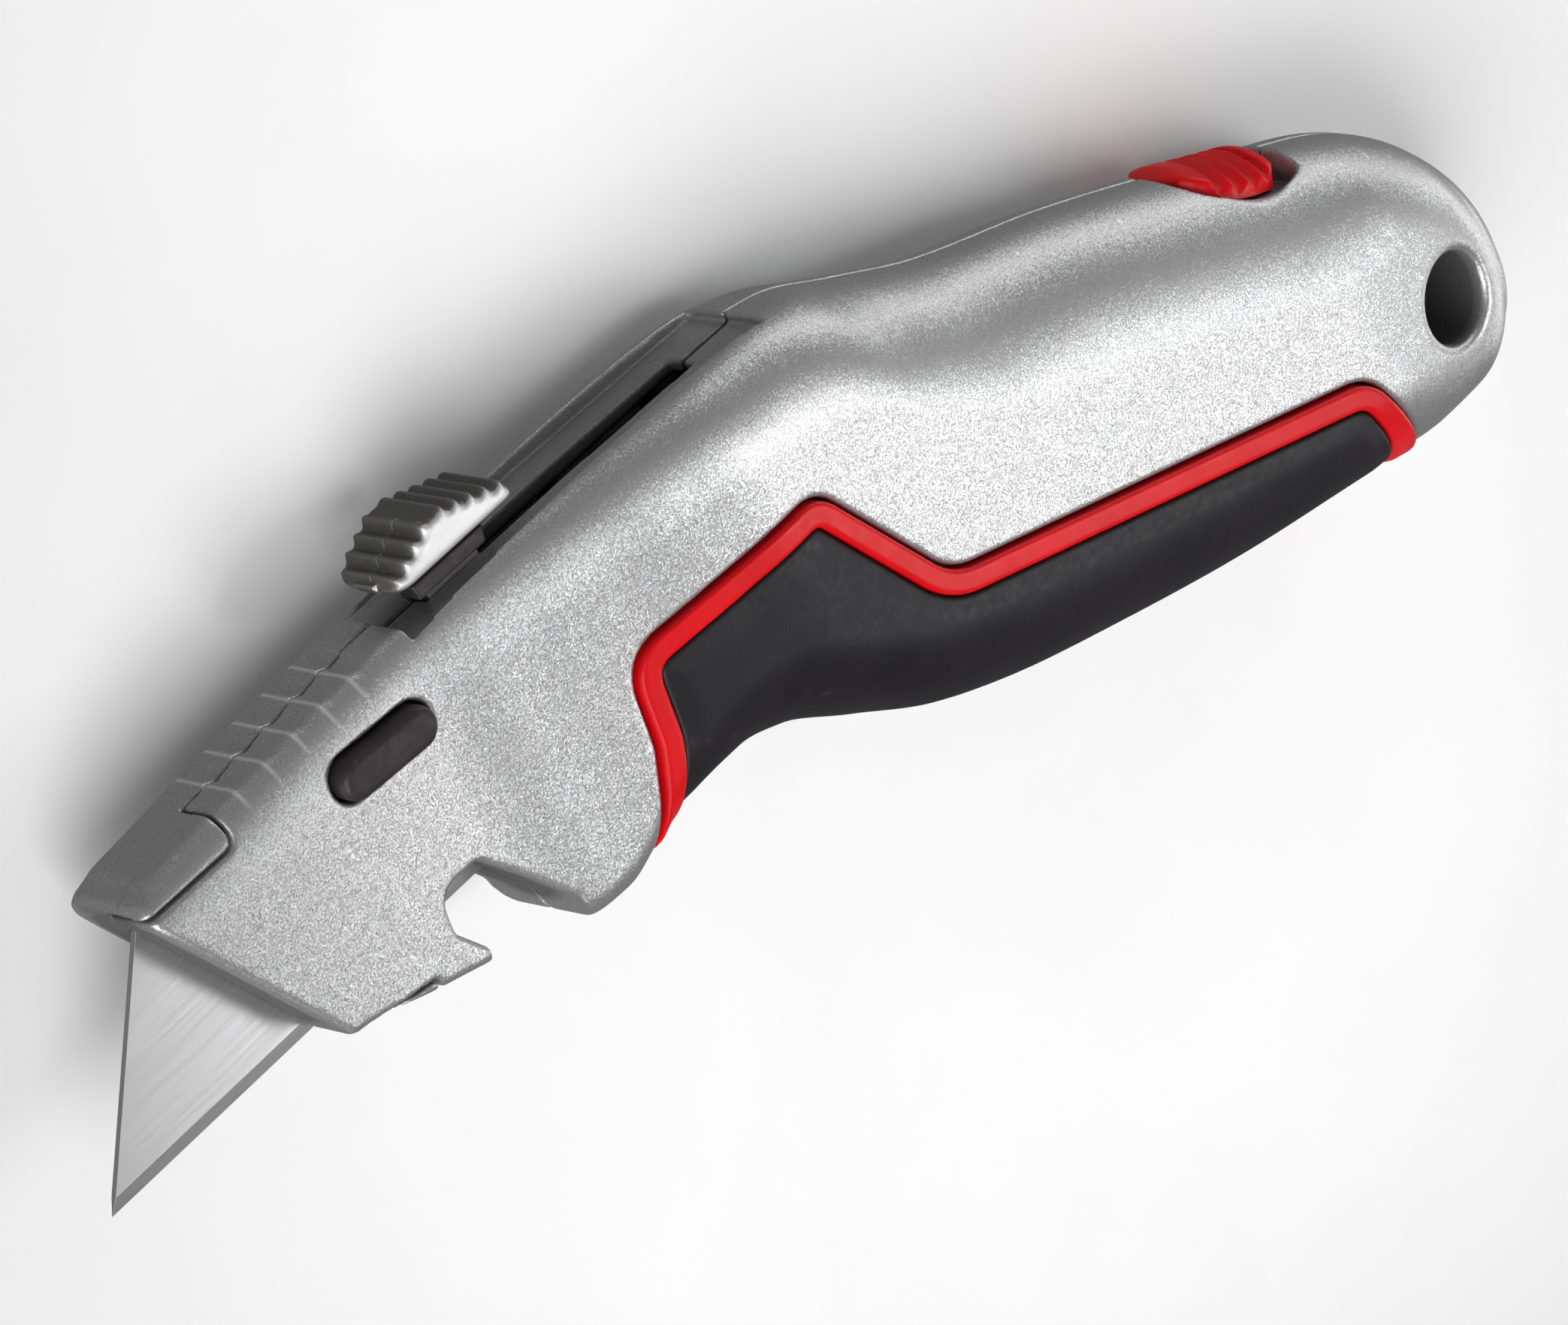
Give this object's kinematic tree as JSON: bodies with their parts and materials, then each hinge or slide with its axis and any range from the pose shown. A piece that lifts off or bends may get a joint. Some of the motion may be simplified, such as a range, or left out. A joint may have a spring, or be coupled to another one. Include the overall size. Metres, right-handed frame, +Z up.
{
  "type": "retractable utility knife",
  "caption": "Retractable utility knife with a clamshell cast case, sliding blade carriage, thumb slider, blade release button, tool-free body latch and blade magazine.",
  "frame": {"origin": "middle of the underside of the knife's box, on the plane of the right side that it lies on", "axes": "+X from the blade's tip towards the tail, along the cutting edge; +Y from the cutting edge towards the thumb slider; +Z up, from the right case half to the left"},
  "size_m": [0.1756, 0.0674, 0.022],
  "materials": {
    "silver_paint": "metallic silver paint on a die-cast case",
    "red_plastic": "satin red moulding",
    "black_rubber": "matte soft grip",
    "blade_steel": "bright blade steel with a ground edge",
    "spring_steel": "plain spring steel",
    "slider_metal": "sand-blasted silver",
    "dark_plastic": "matte dark moulding"
  },
  "bodies": {
    "case": {"right_case": "silver_paint", "right_grip_trim": "red_plastic", "right_grip_pad": "black_rubber", "detent_strip": "spring_steel", "blade_magazine": "dark_plastic", "spare_blade_1": "blade_steel", "spare_blade_2": "blade_steel", "spare_blade_3": "blade_steel", "magazine_spring": "spring_steel"},
    "cover": {"left_case": "silver_paint", "left_grip_trim": "red_plastic", "left_grip_pad": "black_rubber", "button_keeper": "spring_steel", "release_button_spring": "spring_steel"},
    "carriage": {"blade_carrier": "dark_plastic", "blade": "blade_steel", "blade_clamp_leaf": "spring_steel", "clamp_rivet": "spring_steel"},
    "thumb_slider": {"thumb_slider": "slider_metal", "thumb_slider_spring": "spring_steel"},
    "release_button": {"blade_release_button": "dark_plastic"},
    "latch": {"latch_button": "red_plastic", "latch_plate": "spring_steel", "latch_screw": "spring_steel", "latch_spring": "spring_steel"}
  },
  "joints": [
    {"name": "case_opening", "type": "hinge", "parent": "case", "child": "cover", "pos_m": [-0.07485, 0.01205, 0.0172], "axis": [0, -1, 0], "range_deg": [0, 25]},
    {"name": "blade_slide", "type": "slide", "parent": "case", "child": "carriage", "axis": [1, 0, 0], "range_m": [0, 0.0275]},
    {"name": "thumb_press", "type": "slide", "parent": "carriage", "child": "thumb_slider", "axis": [0, -1, 0], "range_m": [0, 0.0012], "stiffness_N_per_m": 800, "springref_m": -0.002},
    {"name": "release_press", "type": "slide", "parent": "cover", "child": "release_button", "axis": [0, 0, -1], "range_m": [0, 0.0012], "stiffness_N_per_m": 800, "springref_m": -0.002, "deforming": ["release_button_spring"]},
    {"name": "latch_release", "type": "slide", "parent": "case", "child": "latch", "axis": [0.9121, -0.4099, 0], "range_m": [0, 0.0025], "stiffness_N_per_m": 600, "springref_m": -0.004}
  ]
}
